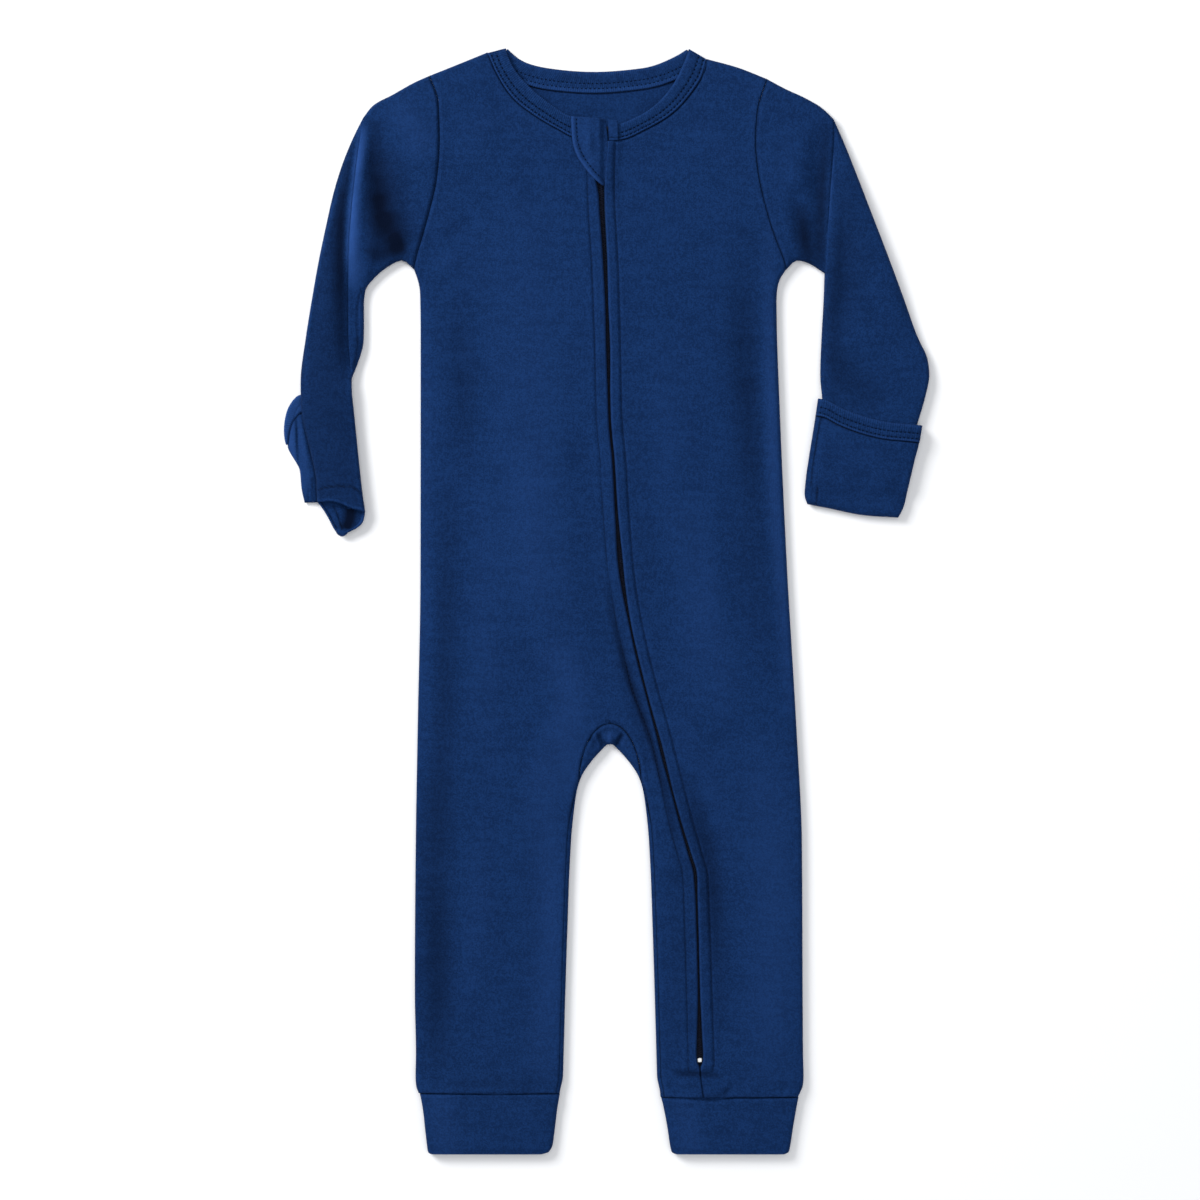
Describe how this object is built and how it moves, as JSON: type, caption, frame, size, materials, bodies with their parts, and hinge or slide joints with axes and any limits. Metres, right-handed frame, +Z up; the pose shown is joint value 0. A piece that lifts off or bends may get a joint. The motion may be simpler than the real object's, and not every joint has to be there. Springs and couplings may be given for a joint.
{
  "type": "onesie pajama",
  "caption": "Baby's footless zip sleep onesie in brushed navy knit, laid flat: set-in long sleeves with fold-over mittens, curved front zip, crotch gusset, cuffs",
  "frame": {"origin": "middle of the garment's outline on the surface it lies on", "axes": "+Y along the garment towards the neck, +X towards the wearer's left, +Z up off the surface"},
  "size_m": [0.3544, 0.6079, 0.0084],
  "materials": {
    "knit": "brushed interlock knit, matt",
    "binding": "folded knit binding, matt",
    "zip_tape": "woven polyester tape",
    "coil": "moulded coil",
    "slider": "lacquered",
    "stop": "plain white"
  },
  "bodies": {
    "root": {"back": "knit", "front_left": "knit", "front_right": "knit", "gusset": "knit", "leg_cuff_left": "knit", "leg_cuff_right": "knit", "mitten_left": "knit", "mitten_left_binding": "binding", "mitten_right": "knit", "mitten_right_binding": "binding", "neck_binding": "binding", "sleeve_left": "knit", "sleeve_right": "knit", "zip_bottom_stop": "stop", "zip_coil": "coil", "zip_guard": "knit", "zip_pull": "slider", "zip_slider": "slider", "zip_tape_left": "zip_tape", "zip_tape_right": "zip_tape"}
  },
  "joints": []
}
